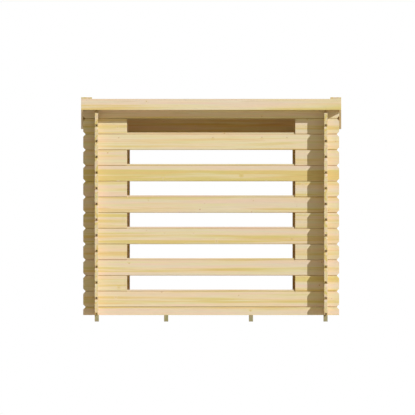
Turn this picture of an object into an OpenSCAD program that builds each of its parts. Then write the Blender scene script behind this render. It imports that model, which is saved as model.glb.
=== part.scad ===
// Log store: four walls of interlocking logs under a single-pitch boarded roof.
// The back wall is the high side and has open slots, and the low side is the open front.
// Origin on the ground, midway between the verges and midway between the fascias.
// +X runs along the back wall, +Y from the back wall to the open front, +Z up.

/* [Walls] */
// Length of a full log in the back and front walls
wall_length = 2200; // [1800:10:2800]
// Length of a log in the side walls
side_length = 1000; // [800:10:1400]
// Thickness of a log
log_thick = 28; // [24:1:40]
// Height that one log covers in the wall
log_pitch = 135; // [100:0.5:170]
// Length of log that stands out past the wall it crosses
stick_out = 100; // [80:1:150]
// Full courses in the back wall, above its half log
back_courses = 13; // [9:2:15]
// Height of the half log under the back and front walls, over half a course
half_log_extra = 2; // [0:0.5:10]
// Play in the notches where logs cross
notch_gap = 0.5; // [0.2:0.1:1]

/* [Log section] */
// Width of the tongue along the top of a log
tongue_w = 10; // [8:0.5:12]
// Height of the tongue
tongue_h = 14.5; // [8:0.5:16]
// Play on each side of the tongue
tongue_side_gap = 1; // [0.5:0.25:1.5]
// Space left between the top of the tongue and the groove
tongue_tip_gap = 3.5; // [2:0.5:7]
// Bevel along the lower edges of a log
foot_bevel = 5; // [1:0.5:6]
// Bevel along the upper edges of a log
top_bevel = 2; // [1:0.5:6]
// Length of the corner cut at a log's outer end
end_cut_l = 20; // [12:1:28]
// Height of the corner cut at a log's outer end
end_cut_h = 22; // [12:1:28]

/* [Openings] */
// Width of the open slots in the back wall
slot_width = 1445; // [1000:1:1500]
// Width of the open front
front_width = 1398; // [1000:1:1500]

/* [Bearers and floor] */
// Width of a bearer
bearer_w = 36; // [34:1:60]
// Height of a bearer
bearer_h = 56; // [40:1:80]
// Place of the middle bearer nearer the left side, from the middle
mid_left_x = 387; // [200:1:500]
// Place of the middle bearer nearer the right side, from the middle
mid_right_x = 342; // [200:1:500]
// Width of a floor board
floor_board_w = 95; // [70:1:100]
// Thickness of a floor board
floor_board_t = 18; // [15:1:28]
// Least gap between floor boards
floor_gap_min = 8; // [5:1:20]
// Play between the floor and the walls
floor_play = 1; // [0.5:0.5:5]
// Bearing of the floor boards' ends on the outer bearers
floor_bearing = 6; // [5:1:20]

/* [Roof] */
// Slope of the roof, down from the back to the front
roof_angle = 9; // [5:0.5:12]
// How far the top log is planed down at the back wall's outer face
top_trim = 5.5; // [4:0.5:20]
// Reach of the roof boards past the ends of the side logs
roof_reach = 10; // [5:1:60]
// Thickness of the roof boards
roof_board_t = 16; // [14:1:22]
// Thickness of the roofing felt
felt_t = 3; // [2:0.5:5]
// Thickness of the fascia and verge boards
trim_t = 18; // [14:1:24]
// Height of the fascia boards
fascia_h = 95; // [70:1:120]
// Height of the verge boards
verge_h = 95; // [60:1:110]
// Width of the capping boards on the roof's sloping edges
capping_w = 95; // [70:1:120]
// Thickness of the capping boards
capping_t = 14; // [12:1:20]

/* [Hidden] */
eps = 1;                       // how far a cutting shape runs past what it cuts
min_top_log = 35;              // least height of the sawn top log in a sloping wall

groove_w = tongue_w + 2 * tongue_side_gap;
groove_d = tongue_h + tongue_tip_gap;

half_x = wall_length / 2;      // outer ends of the back and front logs
half_y = side_length / 2;      // outer ends of the side logs
side_out_x = half_x - stick_out;           // outer faces of the side walls
wall_out_y = half_y - stick_out;           // outer faces of the back and front walls
side_mid_x = side_out_x - log_thick / 2;
wall_mid_y = wall_out_y - log_thick / 2;
side_in_x = side_out_x - log_thick;
wall_in_y = wall_out_y - log_thick;

half_log_h = log_pitch / 2 + half_log_extra;

// Logs that cross share the height between their seams: the band that each keeps is half a pitch high.
seam_step = log_pitch - half_log_h;        // height of a side seam above the back seam under it
wall_low_cut = seam_step / 2;
side_low_cut = (log_pitch - seam_step) / 2;

rail_count = (back_courses - 1) / 2;
wall_top_z = bearer_h + half_log_h + back_courses * log_pitch;

roof_fall = tan(roof_angle);
roof_half_y = half_y + roof_reach;
deck_h = roof_board_t / cos(roof_angle);
felt_h = felt_t / cos(roof_angle);
capping_h = capping_t / cos(roof_angle);
verge_drop = verge_h / cos(roof_angle);
verge_out_x = half_x + trim_t;
fascia_out_y = roof_half_y + trim_t;

// Height of the underside of the roof boards at a given y
function roof_z(y) = wall_top_z - top_trim - roof_fall * (y + wall_out_y);

// Height of the foot of a course. Course 0 is the lowest, and the back and front walls keep half of it.
function wall_course_z(k) = bearer_h + half_log_h + (k - 1) * log_pitch;
function side_course_z(j) = bearer_h + j * log_pitch;

// The last course of a sloping wall is as tall as the roof leaves it
front_top = floor((roof_z(wall_out_y) - wall_course_z(1) - min_top_log) / log_pitch) + 1;
side_top = floor((roof_z(-wall_out_y) - side_course_z(1) - min_top_log) / log_pitch) + 1;
tall_log = log_pitch + min_top_log;

floor_half_x = side_in_x - floor_play;
floor_depth = 2 * (wall_in_y - floor_play);
floor_count = floor((floor_depth + floor_gap_min) / (floor_board_w + floor_gap_min));
floor_step = (floor_depth - floor_board_w) / (floor_count - 1);

spruce = "#E1CCA3";
spruce_light = "#E5CFAC";
spruce_golden = "#D9C589";
treated_pine = "#A09670";
felt_grey = "#4A4C4D";

// Section across a log: a tongue on top, a groove below and bevelled long edges
module log_section(top) {
    side = log_thick / 2;
    polygon([
        [-side + foot_bevel, 0],
        [-groove_w / 2, 0],
        [-groove_w / 2, groove_d],
        [groove_w / 2, groove_d],
        [groove_w / 2, 0],
        [side - foot_bevel, 0],
        [side, foot_bevel],
        [side, top - top_bevel],
        [side - top_bevel, top],
        [tongue_w / 2, top],
        [tongue_w / 2, top + tongue_h],
        [-tongue_w / 2, top + tongue_h],
        [-tongue_w / 2, top],
        [-side + top_bevel, top],
        [-side, top - top_bevel],
        [-side, foot_bevel]
    ]);
}

// What is cut off the two corners of a log's outer end; the end is at x = 0 and the log lies at -X
module end_cuts(top) {
    for (flip = [0, 1])
        translate([0, flip * top])
            mirror([0, flip])
                polygon([
                    [end_cut_l, 2 * end_cut_h],
                    [-3 * end_cut_l, -2 * end_cut_h],
                    [end_cut_l, -2 * end_cut_h]
                ]);
}

// Elevation of a log from x0 to x1, notched where a wall crosses at -cross and at +cross
module log_outline(x0, x1, cross, low_cut, foot, top) {
    notch_w = log_thick + 2 * notch_gap;
    low_notch = low_cut + notch_gap;
    high_notch = low_cut + log_pitch / 2 - notch_gap;
    end = cross + log_thick / 2 + stick_out;
    difference() {
        translate([x0, foot])
            square([x1 - x0, top + tongue_h - foot]);
        for (side = [0, 1])
            mirror([side, 0]) {
                translate([end, 0])
                    end_cuts(top);
                translate([cross - notch_w / 2, -eps])
                    square([notch_w, low_notch + eps]);
                translate([cross - notch_w / 2, high_notch])
                    square([notch_w, top + tongue_h - high_notch + eps]);
            }
    }
}

// A log along X on the foot of its course, at z = 0. A log planed or sawn below starts at foot.
module log(x0, x1, cross, low_cut, foot = 0, top = log_pitch) {
    intersection() {
        translate([x0, 0, 0])
            rotate([90, 0, 90])
                linear_extrude(x1 - x0)
                    log_section(top);
        rotate([90, 0, 0])
            linear_extrude(log_thick + 2 * eps, center = true)
                log_outline(x0, x1, cross, low_cut, foot, top);
    }
}

// Everything under the roof boards
module below_roof() {
    rotate([90, 0, 90])
        linear_extrude(2 * verge_out_x, center = true)
            polygon([
                [-roof_half_y, 0],
                [-roof_half_y, roof_z(-roof_half_y)],
                [roof_half_y, roof_z(roof_half_y)],
                [roof_half_y, 0]
            ]);
}

// A log of the back wall (wall = -1) or the front wall (wall = 1), in course k
module wall_log(wall, k, x0 = -half_x, x1 = half_x, foot = 0, top = log_pitch) {
    translate([0, wall * wall_mid_y, wall_course_z(k)])
        log(x0, x1, side_mid_x, wall_low_cut, foot, top);
}

// A log of the left wall (side = -1) or the right wall (side = 1), in course j, sawn under the roof
module side_log(side, j) {
    meets_roof = side_course_z(j + 1) + tongue_h > roof_z(half_y);
    top = j == side_top ? tall_log : log_pitch;
    intersection() {
        translate([side * side_mid_x, 0, side_course_z(j)])
            rotate([0, 0, 90])
                log(-half_y, half_y, wall_mid_y, side_low_cut, top = top);
        if (meets_roof)
            below_roof();
    }
}

// Short logs beside an opening, from the corner to the opening's edge, in courses first, first + 2, ...
module stub_logs(wall, side, opening, first, last) {
    x0 = side < 0 ? -half_x : opening / 2;
    x1 = side < 0 ? -opening / 2 : half_x;
    for (k = [first:2:last])
        wall_log(wall, k, x0, x1);
}

// A board or sheet from x0 to x1 and y0 to y1 that lies along the roof, low to high above its underside
module roof_slab(x0, x1, y0, y1, low, high) {
    translate([x0, 0, 0])
        rotate([90, 0, 90])
            linear_extrude(x1 - x0)
                polygon([
                    [y0, roof_z(y0) + low],
                    [y1, roof_z(y1) + low],
                    [y1, roof_z(y1) + high],
                    [y0, roof_z(y0) + high]
                ]);
}

// A level board across the ends of the roof boards, its top edge planed to the roof's slope
module fascia(y0, y1) {
    top = deck_h + felt_h;
    foot = roof_z(y0) + top - fascia_h;
    translate([-verge_out_x, 0, 0])
        rotate([90, 0, 90])
            linear_extrude(2 * verge_out_x)
                polygon([
                    [y0, foot],
                    [y1, foot],
                    [y1, roof_z(y1) + top],
                    [y0, roof_z(y0) + top]
                ]);
}

module back_sill_log() {
    color(spruce)
        wall_log(-1, 0, foot = log_pitch - half_log_h);
}

module back_rail(i) {
    color(spruce_golden)
        wall_log(-1, 2 * i - 1);
}

module back_top_log() {
    color(spruce)
        intersection() {
            wall_log(-1, back_courses);
            below_roof();
        }
}

module back_stub_logs(side) {
    color(spruce_light)
        stub_logs(-1, side, slot_width, 2, back_courses - 1);
}

module front_sill_log() {
    color(spruce)
        wall_log(1, 0, foot = log_pitch - half_log_h);
}

module front_header_log() {
    color(spruce)
        intersection() {
            wall_log(1, front_top, top = tall_log);
            below_roof();
        }
}

module front_stub_logs(side, first) {
    color(spruce_light)
        stub_logs(1, side, front_width, first, front_top - 1);
}

module side_wall_logs(side, first) {
    color(spruce_golden)
        for (j = [first:2:side_top - 1])
            side_log(side, j);
}

module gable_log(side) {
    color(spruce)
        side_log(side, side_top);
}

module bearer(i) {
    outer = floor_half_x - floor_bearing + bearer_w / 2;
    x = [-outer, -mid_left_x, mid_right_x, outer][i - 1];
    color(treated_pine)
        translate([x - bearer_w / 2, -wall_out_y, 0])
            cube([bearer_w, 2 * wall_out_y, bearer_h]);
}

module floor_boards() {
    color(spruce_light)
        for (i = [0:floor_count - 1])
            translate([-floor_half_x, i * floor_step - floor_depth / 2, bearer_h])
                cube([2 * floor_half_x, floor_board_w, floor_board_t]);
}

module roof_boards() {
    color(spruce_light)
        roof_slab(-half_x, half_x, -roof_half_y, roof_half_y, 0, deck_h);
}

module roof_felt() {
    color(felt_grey)
        roof_slab(-half_x, half_x, -roof_half_y, roof_half_y, deck_h, deck_h + felt_h);
}

module fascia_back() {
    color(spruce)
        fascia(-fascia_out_y, -roof_half_y);
}

module fascia_front() {
    color(spruce)
        fascia(roof_half_y, fascia_out_y);
}

module verge_board(side) {
    x0 = side < 0 ? -verge_out_x : half_x;
    top = deck_h + felt_h;
    color(spruce)
        roof_slab(x0, x0 + trim_t, -roof_half_y, roof_half_y, top - verge_drop, top);
}

module verge_capping(side) {
    x0 = side < 0 ? -verge_out_x : verge_out_x - capping_w;
    low = deck_h + felt_h;
    color(spruce_golden)
        roof_slab(x0, x0 + capping_w, -fascia_out_y, fascia_out_y, low, low + capping_h);
}

back_sill_log();
for (i = [1:rail_count])
    back_rail(i);
back_top_log();
back_stub_logs(-1);  // back_stub_logs_left
back_stub_logs(1);  // back_stub_logs_right
front_sill_log();
front_header_log();
front_stub_logs(-1, 1);  // front_stub_logs_left_odd
front_stub_logs(-1, 2);  // front_stub_logs_left_even
front_stub_logs(1, 1);  // front_stub_logs_right_odd
front_stub_logs(1, 2);  // front_stub_logs_right_even
side_wall_logs(-1, 1);  // left_wall_logs_odd
side_wall_logs(-1, 0);  // left_wall_logs_even
gable_log(-1);  // left_gable_log
side_wall_logs(1, 1);  // right_wall_logs_odd
side_wall_logs(1, 0);  // right_wall_logs_even
gable_log(1);  // right_gable_log
for (i = [1:4])
    bearer(i);
floor_boards();
roof_boards();
roof_felt();
fascia_back();
fascia_front();
verge_board(-1);  // verge_board_left
verge_board(1);  // verge_board_right
verge_capping(-1);  // verge_capping_left
verge_capping(1);  // verge_capping_right
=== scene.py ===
import math

import bmesh
import bpy
from mathutils import Matrix, Vector, noise


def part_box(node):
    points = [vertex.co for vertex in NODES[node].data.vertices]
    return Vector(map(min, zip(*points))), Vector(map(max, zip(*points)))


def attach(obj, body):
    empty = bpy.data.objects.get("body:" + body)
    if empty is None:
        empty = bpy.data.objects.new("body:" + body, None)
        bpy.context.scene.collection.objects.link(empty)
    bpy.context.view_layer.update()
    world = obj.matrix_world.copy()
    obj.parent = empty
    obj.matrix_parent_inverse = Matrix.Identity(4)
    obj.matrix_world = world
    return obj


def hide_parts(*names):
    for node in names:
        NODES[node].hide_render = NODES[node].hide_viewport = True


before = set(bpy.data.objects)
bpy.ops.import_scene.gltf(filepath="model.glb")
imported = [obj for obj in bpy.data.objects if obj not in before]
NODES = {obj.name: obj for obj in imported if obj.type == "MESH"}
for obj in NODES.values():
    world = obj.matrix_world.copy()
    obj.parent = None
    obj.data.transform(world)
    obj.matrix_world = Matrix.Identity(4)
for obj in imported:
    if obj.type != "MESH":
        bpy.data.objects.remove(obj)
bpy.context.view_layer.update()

MM = 0.001


# ---- Sizes and places, in metres, all from the frame ----

def low(node):
    """The lowest corner of a node's box."""
    return Vector(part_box(node)[0])


def high(node):
    """The highest corner of a node's box."""
    return Vector(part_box(node)[1])


BACK_OUT_Y = low("back_rail_1").y
LOG_THICK = high("back_rail_1").y - BACK_OUT_Y
WALL_MID_Y = -(BACK_OUT_Y + LOG_THICK / 2)
SIDE_MID_X = (low("right_gable_log").x + high("right_gable_log").x) / 2
PITCH = (low("back_rail_2").z - low("back_rail_1").z) / 2
WALL_FOOT_Z = low("back_rail_1").z
SIDE_FOOT_Z = low("left_wall_logs_odd").z

ROOF_LOW = low("roof_boards")
ROOF_HIGH = high("roof_boards")
FELT_HIGH = high("roof_felt")
FELT_LOW = low("roof_felt")
FELT_RISE = FELT_HIGH.z - ROOF_HIGH.z
BOARD_RISE = FELT_LOW.z - ROOF_LOW.z
ROOF_RUN = ROOF_HIGH.y - ROOF_LOW.y
ROOF_FALL = (ROOF_HIGH.z - ROOF_LOW.z - BOARD_RISE) / ROOF_RUN
SLOPE = math.atan(ROOF_FALL)


def under_roof(y):
    """Height of the underside of the roof boards at y."""
    return ROOF_HIGH.z - BOARD_RISE - ROOF_FALL * (y - ROOF_LOW.y)


def square_to_roof(rise):
    """Height of a plane along the roof, rise above its underside, once the roof is turned level."""
    return (under_roof(0) + rise) * math.cos(SLOPE)


FASCIA_LOW = low("fascia_back")
FASCIA_HIGH = high("fascia_back")
FASCIA_DROP = FASCIA_HIGH.z - high("fascia_front").z
FASCIA_MARGIN = (FASCIA_DROP - (FASCIA_HIGH.z - FASCIA_LOW.z)) / 2
TRIM_THICK = FASCIA_HIGH.y - FASCIA_LOW.y
VERGE_MID_X = high("verge_board_right").x - TRIM_THICK / 2
VERGE_SIZE = high("verge_board_right") - low("verge_board_right")
VERGE_WIDE = (VERGE_SIZE.z - ROOF_FALL * VERGE_SIZE.y) * math.cos(SLOPE)
CAPPING_IN_X = low("verge_capping_right").x
CAPPING_MID_X = (CAPPING_IN_X + high("verge_capping_right").x) / 2
CAPPING_RISE = high("verge_capping_right").z - FASCIA_HIGH.z
CAPPING_THICK = CAPPING_RISE * math.cos(SLOPE)
DECK_PLANE = square_to_roof(0)
FELT_PLANE = square_to_roof(BOARD_RISE + FELT_RISE)
BOARD_THICK = BOARD_RISE * math.cos(SLOPE)

# Roof boards are tongued and grooved, and cover 88 mm each. Floor boards are 95 mm with gaps for air.
ROOF_BOARD = 88 * MM
FLOOR_BOARD = 95 * MM
FLOOR_GAP_LEAST = 8 * MM
FLOOR_LOW = low("floor_boards")
FLOOR_HIGH = high("floor_boards")
FLOOR_DEPTH = FLOOR_HIGH.y - FLOOR_LOW.y
FLOOR_COUNT = math.floor((FLOOR_DEPTH + FLOOR_GAP_LEAST) / (FLOOR_BOARD + FLOOR_GAP_LEAST))
FLOOR_STEP = (FLOOR_DEPTH - FLOOR_BOARD) / (FLOOR_COUNT - 1)


# ---- Colours and nodes ----

# The Mix node repeats its socket names for each kind of data, so its colour sockets go by number.
FACTOR = 0
COLOUR_A = 6
COLOUR_B = 7
MIXED = 2
WHITE = (1, 1, 1, 1)


def linear(hex_colour):
    """An sRGB hex value as a linear colour with alpha 1."""
    channels = [int(hex_colour[i:i + 2], 16) / 255 for i in (1, 3, 5)]
    return tuple(c / 12.92 if c <= 0.04045 else ((c + 0.055) / 1.055) ** 2.4 for c in channels) + (1,)


def add(tree, kind, inputs=(), stops=(), **settings):
    """Adds a shader node, with its settings, its inputs as values or links, and a ramp's stops."""
    node = tree.nodes.new("ShaderNode" + kind)
    for name, value in settings.items():
        setattr(node, name, value)
    for key, value in dict(inputs).items():
        if isinstance(value, bpy.types.NodeSocket):
            tree.links.new(value, node.inputs[key])
        else:
            node.inputs[key].default_value = value
    for i, (position, colour) in enumerate(stops):
        ramp = node.color_ramp.elements
        stop = ramp[i] if i < len(ramp) else ramp.new(position)
        stop.position = position
        stop.color = colour
    return node


def new_material(name):
    """An empty node material and its tree."""
    material = bpy.data.materials.new(name)
    material.use_nodes = True
    material.node_tree.nodes.clear()
    return material, material.node_tree


def seen_ray(tree):
    """1 for a ray that the eye follows: straight, by a reflection or through glass. 0 for others."""
    ray = add(tree, "LightPath").outputs
    seen = add(tree, "Math", {0: ray["Is Camera Ray"], 1: ray["Is Glossy Ray"]}, operation="MAXIMUM")
    seen = add(tree, "Math", {0: seen.outputs[0], 1: ray["Is Transmission Ray"]}, operation="MAXIMUM")
    return seen.outputs[0]


# ---- How the logs and boards lie ----

# One cell that holds the whole store, for an axis along which a set isn't cut into pieces
WHOLE = (-5.0, 10.0)
# Two cells that meet in the middle
LEFT_AND_RIGHT = (0.0, 5.0)
WALLS_Y = (0.0, 2 * WALL_MID_Y)
WALLS_X = (0.0, 2 * SIDE_MID_X)
COURSES = (WALL_FOOT_Z, PITCH)
SIDE_COURSES = (SIDE_FOOT_Z, PITCH)


def lay(grain, thick, face, tilt=0.0, **cells):
    """How a set of logs or boards lies: the axes of its grain, thickness and face, and along each
    axis where one piece ends and the next begins, as (origin, step)."""
    spans = [cells.get(axis, WHOLE) for axis in "xyz"]
    return {
        "axes": ["XYZ".index(axis) for axis in (grain, thick, face)],
        "tilt": tilt,
        "origin": Vector(origin for origin, _ in spans),
        "step": Vector(step for _, step in spans),
    }


def in_axes(how, along, thick, face):
    """A vector given along the grain, through the thickness and across the face, in X, Y and Z."""
    out = [0.0, 0.0, 0.0]
    for axis, value in zip(how["axes"], (along, thick, face)):
        out[axis] = value
    return out


# ---- Wood ----

# A spruce log or board: growth rings about 3 mm wide, and bands of quicker and slower years.
# Each piece is sawn from its own place in the tree, so its pith lies at its own distance.
RING = 3.0 * MM
BAND = 32 * MM
PITH_NEAR = 14 * MM
PITH_FAR = 80 * MM
PITH_ASIDE = 60 * MM
# The pith wanders a little along a log, because the stem isn't quite straight.
WANDER = 4 * MM
WANDER_LENGTH = 1.8
# Streaks of one tone run far along the grain. Fibres are 2.5 mm wide, as coarse as they need to show.
STREAK_LENGTH = 0.9
STREAK_WIDTH = 26 * MM
FIBRE = 2.5 * MM
FIBRE_LENGTH = 0.12
# How far the fibres make a ring's edge ragged, in rings
RAGGED = 0.7
# Each piece takes its figure from its own part of the noise, up to 37 m off, and its bands from
# up to 19 bands off, so that no two look alike.
APART = 37
BANDS_APART = 19.0
# A knot is a branch that runs through the log, so it shows on both faces. The places where one
# may be lie 210 mm apart, and half of them stay free. The smallest is 0.4 times the largest.
KNOT_APART = 0.21
KNOT_FREE = 0.5
KNOT_SIZE = 9 * MM
KNOT_LEAST = 0.4
# Over 1, it gives a knot an even core and a short edge.
KNOT_CORE = 1.6
# Rings bend round a knot by up to 1.2 times its size, from three times its size on.
BEND_REACH = 3.0
BEND = 1.2


def wood_piece(tree, how, seed):
    """Where a point lies in its own log or board, and three random values that the piece keeps."""
    place = add(tree, "TexCoord").outputs["Object"]
    level = add(tree, "Mapping", {"Vector": place, "Rotation": (how["tilt"], 0, 0)})
    counted = add(tree, "VectorMath", {0: level.outputs[0], 1: how["origin"]}, operation="SUBTRACT")
    counted = add(tree, "VectorMath", {0: counted.outputs[0], 1: how["step"]}, operation="DIVIDE")
    number = add(tree, "VectorMath", {0: counted.outputs[0]}, operation="FLOOR")
    number = add(tree, "VectorMath", {0: number.outputs[0], 1: (seed, seed, seed)}, operation="ADD")
    chance = add(tree, "TexWhiteNoise", {"Vector": number.outputs[0]}, noise_dimensions="3D")
    rest = add(tree, "VectorMath", {0: counted.outputs[0]}, operation="FRACTION")
    inside = add(
        tree,
        "VectorMath",
        {0: rest.outputs[0], 1: how["step"], 2: -how["step"] / 2},
        operation="MULTIPLY_ADD",
    )
    return inside.outputs[0], chance.outputs["Color"]


def pith_distance(tree, how, inside, chance, apart):
    """Distance from the pith, which lies at its own place beside each piece and wanders along it."""
    pith = add(
        tree,
        "VectorMath",
        {
            0: chance,
            1: in_axes(how, 0, PITH_FAR - PITH_NEAR, 2 * PITH_ASIDE),
            2: in_axes(how, 0, PITH_NEAR, -PITH_ASIDE),
        },
        operation="MULTIPLY_ADD",
    )
    slow = add(
        tree, "VectorMath", {0: apart, 1: in_axes(how, 1 / WANDER_LENGTH, 0, 0)}, operation="MULTIPLY"
    )
    drift = add(tree, "TexNoise", {"Vector": slow.outputs[0], "Scale": 1, "Detail": 1})
    drift = add(
        tree,
        "VectorMath",
        {0: drift.outputs["Color"], 1: [4 * WANDER] * 3, 2: [-2 * WANDER] * 3},
        operation="MULTIPLY_ADD",
    )
    across = add(tree, "VectorMath", {0: inside, 1: pith.outputs[0]}, operation="SUBTRACT")
    across = add(tree, "VectorMath", {0: across.outputs[0], 1: drift.outputs[0]}, operation="ADD")
    across = add(
        tree, "VectorMath", {0: across.outputs[0], 1: in_axes(how, 0, 1, 1)}, operation="MULTIPLY"
    )
    return add(tree, "VectorMath", {0: across.outputs[0]}, operation="LENGTH").outputs["Value"]


def knots(tree, how, apart, radius):
    """Where a knot is, from 0 to 1, and the distance from the pith with rings bent round the knots."""
    along, _, across_face = how["axes"]
    parts = add(tree, "SeparateXYZ", {0: apart}).outputs
    branch = add(tree, "CombineXYZ", {0: parts[along], 1: parts[across_face]})
    cell = add(
        tree,
        "TexVoronoi",
        {"Vector": branch.outputs[0], "Scale": 1 / KNOT_APART, "Randomness": 1},
        feature="F1",
        voronoi_dimensions="2D",
    )
    rare = add(tree, "SeparateXYZ", {0: cell.outputs["Color"]}).outputs
    kept = add(tree, "Math", {0: rare[0], 1: KNOT_FREE}, operation="GREATER_THAN").outputs[0]
    largest = KNOT_SIZE / KNOT_APART
    size = add(tree, "MapRange", {"Value": rare[1], "To Min": KNOT_LEAST * largest, "To Max": largest})
    away = cell.outputs["Distance"]
    knot = add(
        tree,
        "MapRange",
        {"Value": away, "From Min": size.outputs[0], "From Max": 0, "To Min": 0, "To Max": KNOT_CORE},
    )
    knot = add(tree, "Math", {0: knot.outputs[0], 1: kept}, operation="MULTIPLY", use_clamp=True)
    bend = add(
        tree,
        "MapRange",
        {
            "Value": away,
            "From Min": BEND_REACH * largest,
            "From Max": 0,
            "To Min": 0,
            "To Max": BEND * KNOT_SIZE,
        },
        interpolation_type="SMOOTHERSTEP",
    )
    bent = add(tree, "Math", {0: bend.outputs[0], 1: kept, 2: radius}, operation="MULTIPLY_ADD")
    return knot.outputs[0], bent.outputs[0]


def wood_figure(tree, how, seed):
    """Rings, bands, fibres and knots that run through the solid wood, each from 0 to 1."""
    inside, chance = wood_piece(tree, how, seed)
    apart = add(
        tree, "VectorMath", {0: chance, 1: (APART, APART, APART), 2: inside}, operation="MULTIPLY_ADD"
    ).outputs[0]
    dice = add(tree, "SeparateXYZ", {0: chance}).outputs
    radius = pith_distance(tree, how, inside, chance, apart)
    knot, bent = knots(tree, how, apart, radius)

    fibres = in_axes(how, 1 / FIBRE_LENGTH, 1 / FIBRE, 1 / FIBRE)
    fibre = add(tree, "VectorMath", {0: apart, 1: fibres}, operation="MULTIPLY").outputs[0]
    fibre = add(tree, "TexNoise", {"Vector": fibre, "Scale": 1, "Detail": 3, "Roughness": 0.6})
    years = add(tree, "Math", {0: bent, 1: RING}, operation="DIVIDE")
    years = add(
        tree, "Math", {0: fibre.outputs[0], 1: RAGGED, 2: years.outputs[0]}, operation="MULTIPLY_ADD"
    )
    year = add(tree, "Math", {0: years.outputs[0]}, operation="FRACT")
    # Early wood darkens slowly into late wood, which ends sharply at the winter.
    late = add(
        tree,
        "ValToRGB",
        {0: year.outputs[0]},
        stops=[(0, (0, 0, 0, 1)), (0.45, (0.1, 0.1, 0.1, 1)), (0.86, WHITE), (0.97, (0, 0, 0, 1))],
    )
    spread = add(tree, "Math", {0: dice[1], 1: BANDS_APART}, operation="MULTIPLY")
    spread = add(tree, "Math", {0: bent, 1: 1 / BAND, 2: spread.outputs[0]}, operation="MULTIPLY_ADD")
    streaks = in_axes(how, 1 / STREAK_LENGTH, 1 / STREAK_WIDTH, 1 / STREAK_WIDTH)
    streak = add(tree, "VectorMath", {0: apart, 1: streaks}, operation="MULTIPLY").outputs[0]
    streak = add(tree, "TexNoise", {"Vector": streak, "Scale": 1, "Detail": 2})
    bands = add(tree, "TexNoise", {"W": spread.outputs[0], "Scale": 1, "Detail": 1}, noise_dimensions="1D")
    bands = add(tree, "Math", {0: bands.outputs[0], 1: streak.outputs[0]}, operation="ADD")
    bands = add(tree, "Math", {0: bands.outputs[0], 1: 0.5}, operation="MULTIPLY")
    return {
        "inside": inside,
        "late": late.outputs[0],
        "bands": bands.outputs[0],
        "blush": add(tree, "SeparateXYZ", {0: streak.outputs["Color"]}).outputs[1],
        "fibre": fibre.outputs[0],
        "knot": knot,
        "dice": dice,
    }


# Colours of planed spruce, and of pine that pressure treatment has turned greenish brown
SPRUCE = {"pale": "#EBD6AB", "rosy": "#EBD3B7", "golden": "#E1C77E", "late": "#E3C48E", "knot": "#CDA673"}
TREATED = {"pale": "#AA9F7E", "rosy": "#A29374", "golden": "#9B9469", "late": "#9B9062", "knot": "#6E5636"}
# A faint tint that drifts from greenish to pink along the streaks
GREENISH = "#FAFFFA"
PINKISH = "#FFF9F8"
# How strongly late wood shows, and how far fibres and whole pieces differ in lightness
LATE_SHOWS = 0.3
FIBRE_TONES = (0.9, 1.1)
PIECE_TONES = (0.965, 1.035)
# The share of its light that wood throws on to other wood, held down so that corners don't glow.
# Under the eaves all of it comes back.
WOOD_BOUNCE = "#E4D7C4"
EAVE_BOUNCE = "#FFFFFF"
# Painted shade: a darker tint along the bevelled joint between two logs, standing in for the shade that
# falls in the groove.
JOINT_PAINTED_SHADE = "#E2D3B0"
JOINT_REACH = 2.5 * MM
JOINT_SOFT = 0.6 * MM
# Sawn ends drink the light a little and look yellower than the faces.
END_GRAIN = "#F9F7E9"
# Roughness of planed trim and logs, of boards as they come from the mill, and of sawn timber
PLANED = 0.6
MILLED = 0.65
SAWN = 0.75
# The grain that a plane leaves standing
GRAIN_RELIEF = 0.3 * MM


def wood_tone(tree, figure, colours):
    """The colour of the faces, from the bands of years, their faint tint and the late wood."""
    tone = add(
        tree,
        "ValToRGB",
        {0: figure["bands"]},
        stops=[
            (0.40, linear(colours["rosy"])),
            (0.51, linear(colours["pale"])),
            (0.62, linear(colours["golden"])),
        ],
    )
    blush = add(
        tree,
        "ValToRGB",
        {0: figure["blush"]},
        stops=[(0.40, linear(GREENISH)), (0.60, linear(PINKISH))],
    )
    tone = add(
        tree,
        "Mix",
        {FACTOR: 1.0, COLOUR_A: tone.outputs[0], COLOUR_B: blush.outputs[0]},
        data_type="RGBA",
        blend_type="MULTIPLY",
    )
    ringed = add(
        tree,
        "Mix",
        {FACTOR: figure["late"], COLOUR_A: WHITE, COLOUR_B: linear(colours["late"])},
        data_type="RGBA",
    )
    tone = add(
        tree,
        "Mix",
        {FACTOR: LATE_SHOWS, COLOUR_A: tone.outputs[MIXED], COLOUR_B: ringed.outputs[MIXED]},
        data_type="RGBA",
        blend_type="MULTIPLY",
    )
    return tone.outputs[MIXED]


def end_face(tree, how):
    """1 on a sawn end, which faces along the grain, and 0 on the long faces."""
    facing = add(tree, "NewGeometry").outputs["Normal"]
    facing = add(
        tree, "Mapping", {"Vector": facing, "Rotation": (how["tilt"], 0, 0)}, vector_type="NORMAL"
    ).outputs[0]
    facing = add(tree, "VectorMath", {0: facing, 1: in_axes(how, 1, 0, 0)}, operation="DOT_PRODUCT")
    facing = add(tree, "Math", {0: facing.outputs["Value"]}, operation="ABSOLUTE")
    return add(tree, "MapRange", {"Value": facing.outputs[0], "From Min": 0.8, "From Max": 0.95}).outputs[0]


def painted_joint_shade_mask(tree, how, figure, end_grain):
    """Where shade is painted along a log's joints: 1 on its faces within reach of its upper and lower
    edges, and 0 elsewhere.
    """
    off_middle = add(
        tree, "VectorMath", {0: figure["inside"], 1: in_axes(how, 0, 0, 1)}, operation="DOT_PRODUCT"
    )
    off_middle = add(tree, "Math", {0: off_middle.outputs["Value"]}, operation="ABSOLUTE")
    reached = how["step"][how["axes"][2]] / 2 - JOINT_REACH
    near = add(
        tree,
        "MapRange",
        {"Value": off_middle.outputs[0], "From Min": reached, "From Max": reached + JOINT_SOFT},
    )
    near = add(tree, "Math", {0: near.outputs[0], 1: end_grain}, operation="SUBTRACT", use_clamp=True)
    return near.outputs[0]


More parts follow.
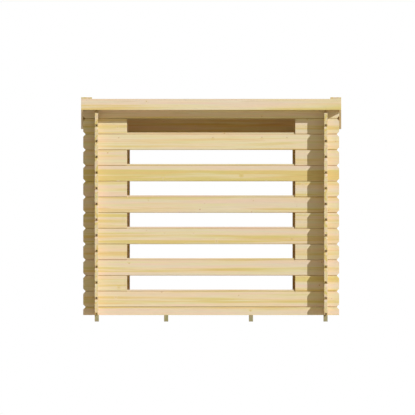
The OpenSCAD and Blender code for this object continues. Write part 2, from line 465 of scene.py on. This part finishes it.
def wood(name, how, colours, seed, roughness, joints=False, bounce=WOOD_BOUNCE):
    """Sawn or planed softwood whose figure follows the grain of each log or board: soft bands,
    fine rings, a few knots, plainer yellow ends, and no shine."""
    material, tree = new_material(name)
    figure = wood_figure(tree, how, seed)
    tone = wood_tone(tree, figure, colours)
    end_grain = end_face(tree, how)
    tints = [(end_grain, END_GRAIN)]
    # Painted shade: the log faces are darkened along the joints, where shade falls in the groove.
    if joints:
        tints.insert(0, (painted_joint_shade_mask(tree, how, figure, end_grain), JOINT_PAINTED_SHADE))
    for share, tint in tints:
        tone = add(
            tree,
            "Mix",
            {FACTOR: share, COLOUR_A: tone, COLOUR_B: linear(tint)},
            data_type="RGBA",
            blend_type="MULTIPLY",
        ).outputs[MIXED]
    threads = add(
        tree, "MapRange", {"Value": figure["fibre"], "To Min": FIBRE_TONES[0], "To Max": FIBRE_TONES[1]}
    )
    own = add(
        tree, "MapRange", {"Value": figure["dice"][2], "To Min": PIECE_TONES[0], "To Max": PIECE_TONES[1]}
    )
    value = add(tree, "Math", {0: threads.outputs[0], 1: own.outputs[0]}, operation="MULTIPLY")
    tone = add(tree, "HueSaturation", {"Color": tone, "Value": value.outputs[0]})
    tone = add(
        tree,
        "Mix",
        {FACTOR: figure["knot"], COLOUR_A: tone.outputs[0], COLOUR_B: linear(colours["knot"])},
        data_type="RGBA",
    )
    ray = add(tree, "LightPath").outputs
    tone = add(
        tree,
        "Mix",
        {FACTOR: ray["Is Diffuse Ray"], COLOUR_A: tone.outputs[MIXED], COLOUR_B: linear(bounce)},
        data_type="RGBA",
        blend_type="MULTIPLY",
    )
    relief = add(tree, "Math", {0: figure["fibre"], 1: figure["late"]}, operation="ADD")
    bump = add(tree, "Bump", {"Strength": 0.25, "Distance": GRAIN_RELIEF, "Height": relief.outputs[0]})
    surface = add(
        tree,
        "BsdfPrincipled",
        {"Base Color": tone.outputs[MIXED], "Roughness": roughness, "Normal": bump.outputs[0]},
    )
    add(tree, "OutputMaterial", {"Surface": surface.outputs[0]})
    return material


# Planed spruce logs: a pale, warm, dull surface whose long faces show bands and rings.
spruce_full_logs = wood(
    "spruce_full_logs", lay("X", "Y", "Z", y=WALLS_Y, z=COURSES), SPRUCE, 67.0, PLANED, joints=True
)
spruce_short_logs = wood(
    "spruce_short_logs",
    lay("X", "Y", "Z", x=LEFT_AND_RIGHT, y=WALLS_Y, z=COURSES),
    SPRUCE,
    11.0,
    PLANED,
    joints=True,
)
spruce_side_logs = wood(
    "spruce_side_logs", lay("Y", "X", "Z", x=WALLS_X, z=SIDE_COURSES), SPRUCE, 23.0, PLANED, joints=True
)

# Planed spruce boards: the same pale wood, without joints.
FASCIAS_Y = (0.0, 2 * (FASCIA_HIGH.y - TRIM_THICK / 2))
FASCIAS_Z = (FASCIA_LOW.z - FASCIA_MARGIN, FASCIA_DROP)
VERGES_X = (0.0, 2 * VERGE_MID_X)
VERGES_Z = (FELT_PLANE - VERGE_WIDE, VERGE_WIDE)
CAPPINGS_X = (0.0, 2 * CAPPING_MID_X)
CAPPINGS_Z = (FELT_PLANE, CAPPING_THICK)
ROOF_BOARDS_X = (ROOF_LOW.x, ROOF_BOARD)
ROOF_BOARDS_Z = (DECK_PLANE, BOARD_THICK)
FLOOR_BOARDS_Y = (FLOOR_LOW.y - (FLOOR_STEP - FLOOR_BOARD) / 2, FLOOR_STEP)
FLOOR_BOARDS_Z = (FLOOR_LOW.z, FLOOR_HIGH.z - FLOOR_LOW.z)

spruce_fascias = wood(
    "spruce_fascias",
    lay("X", "Y", "Z", y=FASCIAS_Y, z=FASCIAS_Z),
    SPRUCE,
    45.0,
    PLANED,
    bounce=EAVE_BOUNCE,
)
spruce_verges = wood(
    "spruce_verges", lay("Y", "X", "Z", tilt=SLOPE, x=VERGES_X, z=VERGES_Z), SPRUCE, 37.0, PLANED
)
spruce_cappings = wood(
    "spruce_cappings", lay("Y", "Z", "X", tilt=SLOPE, x=CAPPINGS_X, z=CAPPINGS_Z), SPRUCE, 41.0, PLANED
)
spruce_roof_boards = wood(
    "spruce_roof_boards",
    lay("Y", "Z", "X", tilt=SLOPE, x=ROOF_BOARDS_X, z=ROOF_BOARDS_Z),
    SPRUCE,
    47.0,
    MILLED,
    bounce=EAVE_BOUNCE,
)
spruce_floor_boards = wood(
    "spruce_floor_boards", lay("X", "Z", "Y", y=FLOOR_BOARDS_Y, z=FLOOR_BOARDS_Z), SPRUCE, 53.0, MILLED
)


def treated_bearer(node, seed):
    """Rough-sawn pine, pressure-treated: dull greenish brown that the salts leave."""
    spare = 1 * MM
    foot = low(node)
    top = high(node)
    across = (foot.x - spare, top.x - foot.x + 2 * spare)
    upward = (foot.z - spare, top.z - foot.z + 2 * spare)
    return wood("treated_pine_" + node, lay("Y", "X", "Z", x=across, z=upward), TREATED, seed, SAWN)


# ---- Felt and steel ----

def mineral_felt():
    """Bitumen felt with slate granules: dark grey, matt and gritty, paler where it has worn."""
    granule = 2.2 * MM
    worn_patches = 3.5
    material, tree = new_material("mineral_felt")
    place = add(tree, "TexCoord").outputs["Object"]
    grit = add(tree, "TexVoronoi", {"Vector": place, "Scale": 1 / granule}, feature="F1")
    shade = add(tree, "SeparateXYZ", {0: grit.outputs["Color"]}).outputs[0]
    worn = add(tree, "TexNoise", {"Vector": place, "Scale": worn_patches, "Detail": 4})
    shade = add(tree, "Math", {0: worn.outputs[0], 1: 0.5, 2: shade}, operation="MULTIPLY_ADD")
    tone = add(
        tree,
        "ValToRGB",
        {0: shade.outputs[0]},
        stops=[(0.1, linear("#393B3C")), (0.7, linear("#515453")), (1.0, linear("#83867F"))],
    )
    bump = add(tree, "Bump", {"Strength": 0.6, "Distance": 0.8 * MM, "Height": grit.outputs["Distance"]})
    surface = add(
        tree, "BsdfPrincipled", {"Base Color": tone.outputs[0], "Roughness": 0.9, "Normal": bump.outputs[0]}
    )
    add(tree, "OutputMaterial", {"Surface": surface.outputs[0]})
    return material


def galvanised_steel():
    """Hot-dipped zinc on nail heads: pale, dull grey metal with faint spangle."""
    spangle = 1.5 * MM
    material, tree = new_material("galvanised_steel")
    place = add(tree, "TexCoord").outputs["Object"]
    zinc = add(tree, "TexVoronoi", {"Vector": place, "Scale": 1 / spangle}, feature="F1")
    patch = add(tree, "SeparateXYZ", {0: zinc.outputs["Color"]}).outputs[0]
    tone = add(tree, "ValToRGB", {0: patch}, stops=[(0.0, linear("#8E9294")), (1.0, linear("#B4B8B9"))])
    rough = add(tree, "MapRange", {"Value": patch, "To Min": 0.38, "To Max": 0.55})
    surface = add(
        tree,
        "BsdfPrincipled",
        {"Base Color": tone.outputs[0], "Metallic": 1.0, "Roughness": rough.outputs[0]},
    )
    add(tree, "OutputMaterial", {"Surface": surface.outputs[0]})
    return material


# ---- Finishes on the frame's own pieces ----

def give(node, material):
    """Puts a finish on one of the frame's pieces."""
    mesh = NODES[node].data
    mesh.materials.clear()
    mesh.materials.append(material)


def ease_edges(node, width):
    """Takes the sharpness off sawn edges, as a plane or sandpaper does."""
    piece = NODES[node]
    # The frame's meshes are loose triangles, which are joined and made flat faces first.
    weld = piece.modifiers.new("joined_faces", "WELD")
    weld.merge_threshold = 0.01 * MM
    flat = piece.modifiers.new("flat_faces", "DECIMATE")
    flat.decimate_type = "DISSOLVE"
    flat.angle_limit = math.radians(0.5)
    eased = piece.modifiers.new("eased_edges", "BEVEL")
    eased.width = width
    eased.segments = 2
    eased.limit_method = "ANGLE"
    eased.angle_limit = math.radians(25)


FULL_LOGS = ["back_sill_log", "back_top_log", "front_sill_log", "front_header_log"]
FULL_LOGS += [f"back_rail_{i}" for i in range(1, 7)]
SHORT_LOGS = [name for name in NODES if "stub_logs" in name]
SIDE_LOGS = [name for name in NODES if "wall_logs" in name or "gable_log" in name]
BEARERS = [f"bearer_{i}" for i in range(1, 5)]
FIRST_BEARER_SEED = 61.0

FINISHES = (
    (spruce_full_logs, FULL_LOGS),
    (spruce_short_logs, SHORT_LOGS),
    (spruce_side_logs, SIDE_LOGS),
    (spruce_fascias, ("fascia_back", "fascia_front")),
    (spruce_verges, ("verge_board_left", "verge_board_right")),
    (spruce_cappings, ("verge_capping_left", "verge_capping_right")),
    (spruce_floor_boards, ("floor_boards",)),
)
for finish, names in FINISHES:
    for name in names:
        give(name, finish)
for i, name in enumerate(BEARERS):
    give(name, treated_bearer(name, FIRST_BEARER_SEED + i))

EASED_LOG = 0.7 * MM
EASED_BOARD = 1.2 * MM
for name in FULL_LOGS + SHORT_LOGS + SIDE_LOGS + BEARERS:
    ease_edges(name, EASED_LOG)
for name in NODES:
    if name.startswith(("fascia", "verge")) or name == "floor_boards":
        ease_edges(name, EASED_BOARD)


# ---- Pieces of Blender's own ----

def make_piece(name, bm, material):
    """A mesh object of the store, with outward normals, that rides on its body."""
    bmesh.ops.recalc_face_normals(bm, faces=bm.faces)
    mesh = bpy.data.meshes.new(name)
    bm.to_mesh(mesh)
    bm.free()
    mesh.materials.append(material)
    piece = bpy.data.objects.new(name, mesh)
    bpy.context.collection.objects.link(piece)
    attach(piece, "root")
    return piece


def add_prism(bm, outline, start, end):
    """A bar with one outline all along. start and end turn an outline point into its corner there."""
    first = [bm.verts.new(start(point)) for point in outline]
    last = [bm.verts.new(end(point)) for point in outline]
    bm.faces.new(first)
    bm.faces.new(list(reversed(last)))
    count = len(outline)
    for i in range(count):
        after = (i + 1) % count
        bm.faces.new((first[i], last[i], last[after], first[after]))


def roof_boards():
    """Tongued and grooved boards down the slope, each with a small V along its lower edges."""
    joint = 0.8 * MM
    vee = 2.5 * MM
    thick = BOARD_RISE
    bm = bmesh.new()
    count = round((ROOF_HIGH.x - ROOF_LOW.x) / ROOF_BOARD)
    wide = (ROOF_HIGH.x - ROOF_LOW.x) / count
    for i in range(count):
        x0 = ROOF_LOW.x + i * wide + (joint / 2 if i else 0)
        x1 = ROOF_LOW.x + (i + 1) * wide - (joint / 2 if i < count - 1 else 0)
        outline = [(x0 + vee, 0), (x1 - vee, 0), (x1, vee), (x1, thick), (x0, thick), (x0, vee)]
        add_prism(
            bm,
            outline,
            lambda p: (p[0], ROOF_LOW.y, under_roof(ROOF_LOW.y) + p[1]),
            lambda p: (p[0], ROOF_HIGH.y, under_roof(ROOF_HIGH.y) + p[1]),
        )
    piece = make_piece("roof_boards_laid", bm, spruce_roof_boards)
    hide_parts("roof_boards")


# The upper width of felt laps over the lower one by 80 mm in the middle of the roof.
FELT_LAP = 80 * MM
# Room for ripples under the felt's highest plane
FELT_ROOM = 0.4 * MM


def felt_sheet(bm, y0, y1, lap_y, lift):
    """One width of felt between y0 and y1, lifted over the sheet below from lap_y on."""
    tucked_under_cappings = 4 * MM
    edge = CAPPING_IN_X + tucked_under_cappings
    across = 56
    down = 40
    ramp = 25 * MM
    # Long, low ripples, by their number in a metre, and the slice of the noise that they come from
    ripple_height = 0.35 * MM
    ripples_x = 2.3
    ripples_y = 4.1
    ripple_slice = 7.7
    # The lapping part is a little thinner, so that it clears the sheet under it.
    lapped_thick = FELT_RISE * 0.8
    base = BOARD_RISE

    def top(x, y):
        over = min(max((y - lap_y) / ramp + 1, 0), 1) * lift if lift else 0
        ripple = ripple_height * noise.noise(Vector((x * ripples_x, y * ripples_y, ripple_slice)))
        return under_roof(y) + base + FELT_RISE - FELT_ROOM + over + ripple

    rows = []
    for j in range(down + 1):
        y = y0 + (y1 - y0) * j / down
        upper = []
        lower = []
        for i in range(across + 1):
            x = -edge + 2 * edge * i / across
            z = top(x, y)
            upper.append(bm.verts.new((x, y, z)))
            over = z - (under_roof(y) + base + FELT_RISE)
            lower.append(bm.verts.new((x, y, z - lapped_thick if over > 0 else under_roof(y) + base)))
        rows.append((upper, lower))
    for (upper_a, lower_a), (upper_b, lower_b) in zip(rows, rows[1:]):
        for i in range(across):
            bm.faces.new((upper_a[i], upper_a[i + 1], upper_b[i + 1], upper_b[i]))
            bm.faces.new((lower_a[i], lower_b[i], lower_b[i + 1], lower_a[i + 1]))
        bm.faces.new((upper_a[0], upper_b[0], lower_b[0], lower_a[0]))
        bm.faces.new((upper_a[-1], lower_a[-1], lower_b[-1], upper_b[-1]))
    for upper, lower in (rows[0], rows[-1]):
        for i in range(across):
            bm.faces.new((upper[i], lower[i], lower[i + 1], upper[i + 1]))


def felt():
    """Two widths of felt laid across the slope. The upper one laps over the lower one."""
    bm = bmesh.new()
    felt_sheet(bm, -FELT_LAP / 2, ROOF_HIGH.y, 0, 0)
    felt_sheet(bm, ROOF_LOW.y, FELT_LAP / 2, -FELT_LAP / 2, FELT_RISE)
    piece = make_piece("roof_felt_sheets", bm, mineral_felt())
    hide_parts("roof_felt")


# Round-head nails, by the radius of the head and how far it stands proud. Those of the trim are
# driven all but flush.
TRIM_NAIL = 2.0 * MM
TRIM_PROUD = 0.03 * MM
FLOOR_NAIL = 3.2 * MM
FLOOR_PROUD = 0.4 * MM
CLOUT = 5.0 * MM
CLOUT_PROUD = 1.0 * MM
# From a board's edge to its first nail
INSET = 22 * MM
# Where the felt's lap is nailed, near its exposed edge
LAP_NAILS_Y = 22 * MM
FASCIA_NAILS = 6
VERGE_NAILS = 6
CAPPING_NAILS = 7
CLOUT_NAILS = 27
ROOF_UP = (0, math.sin(SLOPE), math.cos(SLOPE))


def add_head(bm, place, facing, radius, proud):
    """A flat round nail head with a sloping rim, that stands proud of the surface."""
    # The head goes half as deep into the surface as it stands proud of it.
    height = proud * 1.5
    middle = proud * 0.25
    turn = Vector((0, 0, 1)).rotation_difference(Vector(facing)).to_matrix().to_4x4()
    move = Matrix.Translation(Vector(place) + Vector(facing) * middle)
    bmesh.ops.create_cone(
        bm,
        cap_ends=True,
        cap_tris=False,
        segments=16,
        radius1=radius,
        radius2=radius * 0.82,
        depth=height,
        matrix=move @ turn,
    )


def between(first, last, count):
    """Places spread evenly from first to last."""
    return [first + (last - first) * i / (count - 1) for i in range(count)]


def fascia_nails(steel):
    """Nails through the fascias into the ends of the roof boards."""
    bm = bmesh.new()
    for side, facing in (("fascia_back", (0, -1, 0)), ("fascia_front", (0, 1, 0))):
        foot, top = low(side), high(side)
        y = foot.y if facing[1] < 0 else top.y
        for x in between(foot.x + 2 * INSET, top.x - 2 * INSET, FASCIA_NAILS):
            add_head(bm, (x, y, under_roof(y) + BOARD_RISE / 2), facing, TRIM_NAIL, TRIM_PROUD)
    make_piece("fascia_nails", bm, steel)


def verge_nails(steel):
    """Nails through the verge boards into the outer roof boards, and down through the cappings."""
    bm = bmesh.new()
    for side in (-1, 1):
        x = side * high("verge_board_right").x
        for y in between(ROOF_LOW.y + INSET, ROOF_HIGH.y - INSET, VERGE_NAILS):
            add_head(bm, (x, y, under_roof(y) + BOARD_RISE / 2), (side, 0, 0), TRIM_NAIL, TRIM_PROUD)
        x = side * CAPPING_MID_X
        rise = BOARD_RISE + FELT_RISE + CAPPING_RISE
        for y in between(FASCIA_LOW.y + 2 * INSET, -FASCIA_LOW.y - 2 * INSET, CAPPING_NAILS):
            add_head(bm, (x, y, under_roof(y) + rise), ROOF_UP, TRIM_NAIL, TRIM_PROUD)
    make_piece("verge_nails", bm, steel)


def floor_nails(steel):
    """Two nails in each floor board, over each of the middle bearers."""
    bm = bmesh.new()
    for bearer in ("bearer_2", "bearer_3"):
        x = (low(bearer).x + high(bearer).x) / 2
        for i in range(FLOOR_COUNT):
            for aside in (INSET, FLOOR_BOARD - INSET):
                y = FLOOR_LOW.y + i * FLOOR_STEP + aside
                add_head(bm, (x, y, FLOOR_HIGH.z), (0, 0, 1), FLOOR_NAIL, FLOOR_PROUD)
    make_piece("floor_nails", bm, steel)


def felt_nails(steel):
    """Clout nails through the felt, along its upper edge, its lap and its lower edge."""
    bm = bmesh.new()
    rows = [
        (ROOF_LOW.y + INSET, FELT_RISE),
        (LAP_NAILS_Y, FELT_RISE * 2),
        (ROOF_HIGH.y - INSET, FELT_RISE),
    ]
    for y, felt_thick in rows:
        rise = BOARD_RISE + felt_thick - FELT_ROOM
        for x in between(-CAPPING_IN_X + INSET, CAPPING_IN_X - INSET, CLOUT_NAILS):
            add_head(bm, (x, y, under_roof(y) + rise), ROOF_UP, CLOUT, CLOUT_PROUD)
    make_piece("felt_clout_nails", bm, steel)


roof_boards()
felt()
nail_steel = galvanised_steel()
fascia_nails(nail_steel)
verge_nails(nail_steel)
floor_nails(nail_steel)
felt_nails(nail_steel)


# ---- Camera, floor and light ----

# Square on to the back wall, without perspective: the view's size, its middle, and its distance
PICTURE = 3.567
VIEW_X = -0.0315
VIEW_Z = 0.9805
VIEW_Y = -16.0

camera_data = bpy.data.cameras.new("camera")
camera_data.type = "ORTHO"
camera_data.ortho_scale = PICTURE
camera = bpy.data.objects.new("camera", camera_data)
camera.location = (VIEW_X, VIEW_Y, VIEW_Z)
camera.rotation_euler = (math.radians(90), 0, 0)
bpy.context.collection.objects.link(camera)
bpy.context.scene.camera = camera

# Half the floor's width, and how far it lies below the bearers, so that their faces don't meet
FLOOR_HALF = 80.0
FLOOR_DOWN = 0.5 * MM
# The floor's own pale tones, the warm light that it throws up, and the look of it far off in the sun
FLOOR_TONES = ("#F5F0E8", "#FAF5EE")
FLOOR_BOUNCE = "#F4EBC8"
FLOOR_FAR = "#D8D9D9"


def studio_floor():
    """A plain pale floor that keeps the store's shadow and sends a warm light up."""
    material, tree = new_material("studio_floor")
    place = add(tree, "TexCoord").outputs["Object"]
    mottle = add(tree, "TexNoise", {"Vector": place, "Scale": 2, "Detail": 3})
    tone = add(
        tree,
        "ValToRGB",
        {0: mottle.outputs[0]},
        stops=[(0, linear(FLOOR_TONES[0])), (1, linear(FLOOR_TONES[1]))],
    )
    tone = add(
        tree,
        "Mix",
        {FACTOR: seen_ray(tree), COLOUR_A: linear(FLOOR_BOUNCE), COLOUR_B: tone.outputs[0]},
        data_type="RGBA",
    )
    surface = add(tree, "BsdfPrincipled", {"Base Color": tone.outputs[MIXED], "Roughness": 0.9})
    # Clear from below, so that the underside of the store can be looked at
    clear = add(tree, "BsdfTransparent")
    under = add(tree, "NewGeometry").outputs["Backfacing"]
    surface = add(tree, "MixShader", {0: under, 1: surface.outputs[0], 2: clear.outputs[0]})
    add(tree, "OutputMaterial", {"Surface": surface.outputs[0]})
    bm = bmesh.new()
    bmesh.ops.create_grid(bm, x_segments=1, y_segments=1, size=FLOOR_HALF)
    mesh = bpy.data.meshes.new("studio_floor")
    bm.to_mesh(mesh)
    bm.free()
    mesh.materials.append(material)
    floor = bpy.data.objects.new("studio_floor", mesh)
    floor.location.z = -FLOOR_DOWN
    bpy.context.collection.objects.link(floor)


def sun(name, towards, energy, colour, angle):
    """A sun lamp that stands towards a direction, with its width in the sky in degrees."""
    data = bpy.data.lights.new(name, "SUN")
    data.energy = energy
    data.color = linear(colour)[:3]
    data.angle = math.radians(angle)
    lamp = bpy.data.objects.new(name, data)
    lamp.rotation_euler = Vector(towards).to_track_quat("Z", "Y").to_euler()
    bpy.context.collection.objects.link(lamp)


def white_behind_soft_light(strength, colour):
    """Soft light from all round, with plain white wherever the camera sees past the store."""
    horizon = -0.01
    world = bpy.data.worlds.new("soft_light")
    bpy.context.scene.world = world
    world.use_nodes = True
    tree = world.node_tree
    tree.nodes.clear()
    soft = add(tree, "Background", {"Color": linear(colour), "Strength": strength})
    # Below the horizon the floor seems to run on, for a camera so low that it looks in under the floor.
    height = add(tree, "SeparateXYZ", {0: add(tree, "TexCoord").outputs["Generated"]}).outputs["Z"]
    below = add(tree, "Math", {0: height, 1: horizon}, operation="LESS_THAN")
    far = add(
        tree,
        "Mix",
        {FACTOR: below.outputs[0], COLOUR_A: WHITE, COLOUR_B: linear(FLOOR_FAR)},
        data_type="RGBA",
    )
    white = add(tree, "Background", {"Color": far.outputs[MIXED], "Strength": 1.0})
    mixed = add(tree, "MixShader", {0: seen_ray(tree), 1: soft.outputs[0], 2: white.outputs[0]})
    add(tree, "OutputWorld", {"Surface": mixed.outputs[0]})


studio_floor()
sun("sun_from_the_right", (1.47, -1.0, 0.885), 4.52, "#E6EFFF", 0.6)
sun("fill_on_the_open_front", (-0.7, 1.0, 0.5), 0.6, "#FFFFFF", 20)
white_behind_soft_light(0.1, "#FFF3C8")
bpy.context.scene.view_settings.view_transform = "Standard"
